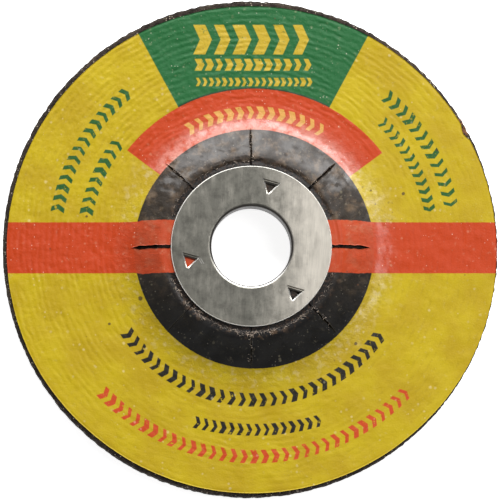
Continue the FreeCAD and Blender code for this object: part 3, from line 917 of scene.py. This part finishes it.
# Loose fibres lie round the hub's crown, more of them low down, with short tufts in the cuts and a
# chain of stitches at the bottom. Lengths in millimetres, directions in degrees from +X.
fibreLook = dict(
    count=340, longest=0.9, lowShare=0.45, lowMiddle=250, lowSpread=0.9, bareSine=0.33,
    headingSpread=0.45, outSpread=0.22, thick=0.05, bend=1.2, lift=0.12, steps=5,
    tuftCount=130, tuftCuts=(45, 90, 135, 270, 315), tuftSpread=0.012, tuftReach=(17.0, 22.8),
    tuftLean=1.1, tuftLength=(0.15, 0.45),
    chainCount=96, chainRadius=17.35, chainSpread=0.05, chainFrom=234, chainTo=322,
    chainLean=0.75, chainStitch=0.42, nearest=16.35, farthest=23.2,
    dark=linear(28, 22, 18), pale=linear(186, 170, 154),
)


def fibreStarts(chance):
    # Direction from the axis, distance, heading and length of each fibre
    look = fibreLook
    starts = []
    for k in range(look["count"]):
        around = chance.uniform(0, 2 * math.pi)
        if chance.random() < look["lowShare"]:
            around = chance.normal(math.radians(look["lowMiddle"]), look["lowSpread"])
        if abs(math.sin(around)) < look["bareSine"]:
            continue
        torn = float(tornRadius(np.array([around]))[0])
        heading = around + math.pi / 2 + chance.normal(0, look["headingSpread"])
        starts.append((around, torn + chance.normal(0.0, look["outSpread"]), heading,
                       chance.uniform(0.3, 1) * look["longest"]))
    for k in range(look["tuftCount"]):
        cut = chance.choice(look["tuftCuts"])
        around = cut * math.pi / 180 + chance.normal(0, look["tuftSpread"])
        reach = chance.uniform(*look["tuftReach"])
        heading = around + chance.choice([-1, 1]) * look["tuftLean"]
        starts.append((around, reach, heading, chance.uniform(*look["tuftLength"])))
    for k in range(look["chainCount"]):
        share = k / look["chainCount"]
        around = math.radians(look["chainFrom"] + (look["chainTo"] - look["chainFrom"]) * share)
        lean = look["chainLean"] if k % 2 else -look["chainLean"]
        starts.append((around, look["chainRadius"] + chance.normal(0, look["chainSpread"]),
                       around + math.pi / 2 + lean, look["chainStitch"]))
    return starts


def fibrePoints(chance, around, r, heading, length):
    # A bent, slightly lifted thread of square section that thins towards both ends
    look = fibreLook
    r = min(max(r, look["nearest"]), look["farthest"])
    bend = chance.normal(0, look["bend"])
    x = r * math.cos(around)
    y = r * math.sin(around)
    steps = look["steps"]
    thick = look["thick"] * chance.uniform(0.5, 1.2)
    lift = chance.uniform(0.0, look["lift"])
    points = []
    for s in range(steps + 1):
        z = disc["labelTop"] + float(hubHeight(np.array([math.hypot(x, y)]))[0]) + 0.01
        z += lift * math.sin(math.pi * s / steps)
        slim = thick * (1 - 0.6 * abs(2 * s / steps - 1))
        for a in range(4):
            aside = slim * math.cos(a * math.pi / 2)
            level = min(z + slim * math.sin(a * math.pi / 2), disc["ringTop"] - 0.05)
            points.append((x - math.sin(heading) * aside, y + math.cos(heading) * aside, level))
        x += math.cos(heading) * length / steps
        y += math.sin(heading) * length / steps
        heading += bend / steps
    return points


def makeFibres():
    # Torn ends of the cloth that stand out round the crown of the hub and by the cuts
    chance = np.random.default_rng(71)
    points = []
    faces = []
    for start in fibreStarts(chance):
        base = len(points)
        points += fibrePoints(chance, *start)
        end = len(points) - 4
        for p in range(base, end, 4):
            for a in range(4):
                b = (a + 1) % 4
                faces.append((p + a, p + b, p + 4 + b, p + 4 + a))
        faces.append((base + 3, base + 2, base + 1, base))
        faces.append((end, end + 1, end + 2, end + 3))
    return meshObject("tornFibres", points, faces)


def fibreMaterial():
    material, t, shader = newMaterial("tornFibre")
    tint = t.noise(t.objectMm(), 0.7, 4.0, 0.7)
    t.feed(shader["Base Color"], t.mixColour(t.step(tint, 0.42, 0.6), fibreLook["dark"],
                                             fibreLook["pale"]))
    t.feed(shader["Roughness"], t.plus(0.35, t.times(tint, 0.4)))
    return material


fibres = makeFibres()
giveMaterial(fibres, fibreMaterial())
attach(fibres, "root")


print("stage: steel ring")

# Painted light: shadedSteel and litSteel shade the left and light the right; edge is a painted
# highlight on the rounded edges and also the colour of the scratches; shade, bend and bore are painted
# shade
ringLook = dict(
    shadedSteel=linear(140, 138, 129), litSteel=linear(229, 222, 209), stain=linear(74, 73, 68),
    edge=linear(252, 250, 244), shade=linear(58, 52, 44), bend=linear(52, 44, 37),
    bore=linear(44, 34, 27), pit=linear(52, 46, 38), brushTurn=0.05,
    stained=0.5, rubbed=0.2, shaded=0.85, bent=0.9, scratched=0.5, pitted=0.85,
)


def brushedSteel(t, where, sides, brushed):
    # Painted light: the steel is painted shaded at the left and lit at the right. Over that lie fine
    # lines, dark clouds that fade out toward the right and deepen the painted shade, and rubbed
    # streaks in the lit colour
    look = ringLook
    litToRight = t.plus(t.times(sides[0], 0.1), t.times(t.minus(brushed["Mottle"], 0.5), 0.35))
    colour = t.mixColour(t.step(litToRight, 0.0, 1.3), look["shadedSteel"], look["litSteel"])
    lines = t.times(t.step(brushed["Lines"], 0.66, 0.36), 0.13)
    colour = t.mixColour(lines, colour, look["stain"])
    cloudy = t.times(t.step(t.noise(where, 0.45, 7.0, 0.72), 0.4, 0.68),
                     t.step(sides[0], 16.0, 2.0))
    colour = t.tint(colour, cloudy, look["stained"], look["stain"])
    drawn = t.vectorMath("MULTIPLY", where, (0.55, 0.16, 0.0))[0]
    rubbed = t.step(t.noise(drawn, 1.0, 6.0, 0.7), 0.46, 0.74)
    return t.tint(colour, rubbed, look["rubbed"], look["litSteel"])


def ringEdges(t, sides, fromAxis, colour):
    # Painted highlight: rounded edges are painted near white as if they catch the light. Painted
    # shade: the upper sides of the punched holes are darkened
    look = ringLook
    bore = disc["boreRadius"]
    edge = disc["ringRadius"]
    lean = t.sides(t.node("ShaderNodeNewGeometry").outputs["Normal"])
    edgeHighlight = t.times(t.step(lean[2], 0.97, 0.85), t.step(lean[2], 0.2, 0.4))
    colour = t.mixColour(edgeHighlight, colour, look["edge"])
    shaded = t.times(t.step(lean[1], -0.08, -0.2), t.step(fromAxis, edge - 0.55, edge - 0.95))
    shaded = t.times(shaded, t.step(fromAxis, bore + 0.9, bore + 1.1))
    colour = t.tint(colour, shaded, look["shaded"], look["shade"])
    # Painted shade: the bend into the bore is painted dark, least at the bottom where it faces the
    # light
    bendShade = t.times(t.step(fromAxis, bore + 0.5, bore + 0.32), t.step(sides[1], -5.5, -1.5))
    bendShade = t.greater(bendShade, t.step(fromAxis, bore + 0.26, bore + 0.18))
    return t.tint(colour, bendShade, look["bent"], look["bend"])


def ringMaterial():
    look = ringLook
    material, t, shader = newMaterial("brushedSteel")
    where = t.objectMm()
    sides = t.sides(where)
    brushed = t.place(streaks, {"Vector": where, "Turn": look["brushTurn"], "Fineness": 5.0,
                                "Length": 0.25})
    colour = brushedSteel(t, where, sides, brushed)
    flat = t.vectorMath("MULTIPLY", where, (1.0, 1.0, 0.0))[0]
    fromAxis = t.vectorMath("LENGTH", flat)["Value"]
    colour = ringEdges(t, sides, fromAxis, colour)
    # Painted shade: the bore's wall, in shade inside the collar, is painted dark brown and not
    # metallic
    boreWallShade = t.step(fromAxis, disc["boreRadius"] + 0.14, disc["boreRadius"] + 0.02)
    colour = t.mixColour(boreWallShade, colour, look["bore"])
    # A few short scratches beside the left claw's hole
    leaning = t.plus(sides[0], t.times(sides[1], 0.6))
    scratch = t.place(markRow, {"Along": leaning, "Across": sides[1], "Start": -12.3, "End": -11.4,
                                "Middle": -3.0, "Height": 1.1, "Pitch": 0.42, "Filled": 0.3,
                                "Point": 0.0, "Soft": 0.08})
    colour = t.tint(colour, scratch["Mask"], look["scratched"], look["edge"])
    pits = t.place(specks, {"Vector": where, "Scale": 1.1, "Size": 0.12, "Share": 0.3,
                            "Patches": 0.12})
    colour = t.tint(colour, pits["Mask"], look["pitted"], look["pit"])
    t.feed(shader["Base Color"], colour)
    t.feed(shader["Metallic"], t.minus(1.0, t.times(boreWallShade, 0.9)))
    rough = t.plus(0.24, t.times(brushed["Mottle"], 0.28))
    t.feed(shader["Roughness"], t.plus(rough, t.times(pits["Mask"], 0.3)))
    height = t.minus(t.times(brushed["Lines"], 0.5), pits["Mask"])
    t.feed(shader["Normal"], t.bump(height, 0.35, 0.00005))
    return material


giveMaterial(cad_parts["centre_ring"], ringMaterial())


print("stage: floor, light and camera")

# Lamps in metres and watts: name, place, size and power. Pixels are those of the photograph.
stageLook = dict(
    floorSize=3.0, floorColour=linear(250, 250, 250), floorShade=linear(235, 235, 235),
    floorGlow=0.85, white=(1.0, 1.0, 1.0, 1.0), worldStrength=0.2,
    lamps=(("key", (0.22, 0.66, 0.78), (1.1, 0.35), 12.3),
           ("overhead", (0.50, 0.10, 1.2), (0.4, 0.4), 2.0),
           ("low", (0.06, 1.05, 0.44), (2.4, 0.4), 15.0)),
    tiltDown=4.8, tiltLeft=1.8, distance=1.3, farthest=20.0, sensor=36.0,
    pixelsPerMm=4.948, framePixels=500, centreX=249.7, centreY=250.6,
)


def makeFloor():
    look = stageLook
    size = look["floorSize"]
    mesh = bpy.data.meshes.new("floor")
    corners = [(-size, -size, 0), (size, -size, 0), (size, size, 0), (-size, size, 0)]
    mesh.from_pydata(corners, [], [(0, 1, 2, 3)])
    floor = bpy.data.objects.new("floor", mesh)
    bpy.context.scene.collection.objects.link(floor)
    material, t, shader = newMaterial("paleFloor")
    where = t.node("ShaderNodeTexCoord").outputs["Object"]
    faint = t.times(t.noise(where, 30.0, 2.0), 0.03)
    t.feed(shader["Base Color"], t.mixColour(faint, look["floorColour"], look["floorShade"]))
    t.feed(shader["Roughness"], 0.8)
    t.feed(shader["Emission Color"], look["white"])
    t.feed(shader["Emission Strength"], look["floorGlow"])
    giveMaterial(floor, material)


def areaLight(name, place, size, power):
    # A soft rectangular lamp that points at the disc
    lamp = bpy.data.lights.new(name, "AREA")
    lamp.shape = "RECTANGLE"
    lamp.size, lamp.size_y = size
    lamp.energy = power
    holder = bpy.data.objects.new(name, lamp)
    holder.location = place
    holder.rotation_euler = (-Vector(place)).to_track_quat("-Z", "Y").to_euler()
    bpy.context.scene.collection.objects.link(holder)


def makeLights():
    world = bpy.data.worlds.new("softStudio")
    world.use_nodes = True
    background = world.node_tree.nodes["Background"]
    background.inputs[0].default_value = stageLook["white"]
    background.inputs[1].default_value = stageLook["worldStrength"]
    bpy.context.scene.world = world
    for lamp in stageLook["lamps"]:
        areaLight(*lamp)


def makeCamera():
    look = stageLook
    aside = math.sin(math.radians(look["tiltLeft"]))
    down = math.sin(math.radians(look["tiltDown"]))
    away = Vector((-aside, -down, math.sqrt(1 - aside ** 2 - down ** 2)))
    camera = bpy.data.objects.new("camera", bpy.data.cameras.new("camera"))
    bpy.context.scene.collection.objects.link(camera)
    right = (Vector((1, 0, 0)) + away * aside).normalized()
    up = away.cross(right)
    # The frame's middle is a little off the disc's foot, as in the photograph
    half = look["framePixels"] / 2
    middle = right * ((half - look["centreX"]) / look["pixelsPerMm"] * mm)
    middle += up * ((look["centreY"] - half) / look["pixelsPerMm"] * mm)
    camera.location = middle + away * look["distance"]
    camera.rotation_euler = Matrix((right, up, away)).transposed().to_euler()
    frameWidth = look["framePixels"] / look["pixelsPerMm"] * mm
    camera.data.sensor_width = look["sensor"]
    camera.data.sensor_fit = "HORIZONTAL"
    camera.data.lens = look["sensor"] * look["distance"] / frameWidth
    camera.data.clip_end = look["farthest"]
    bpy.context.scene.camera = camera


makeFloor()
makeLights()
makeCamera()
bpy.context.scene.view_settings.view_transform = "Standard"
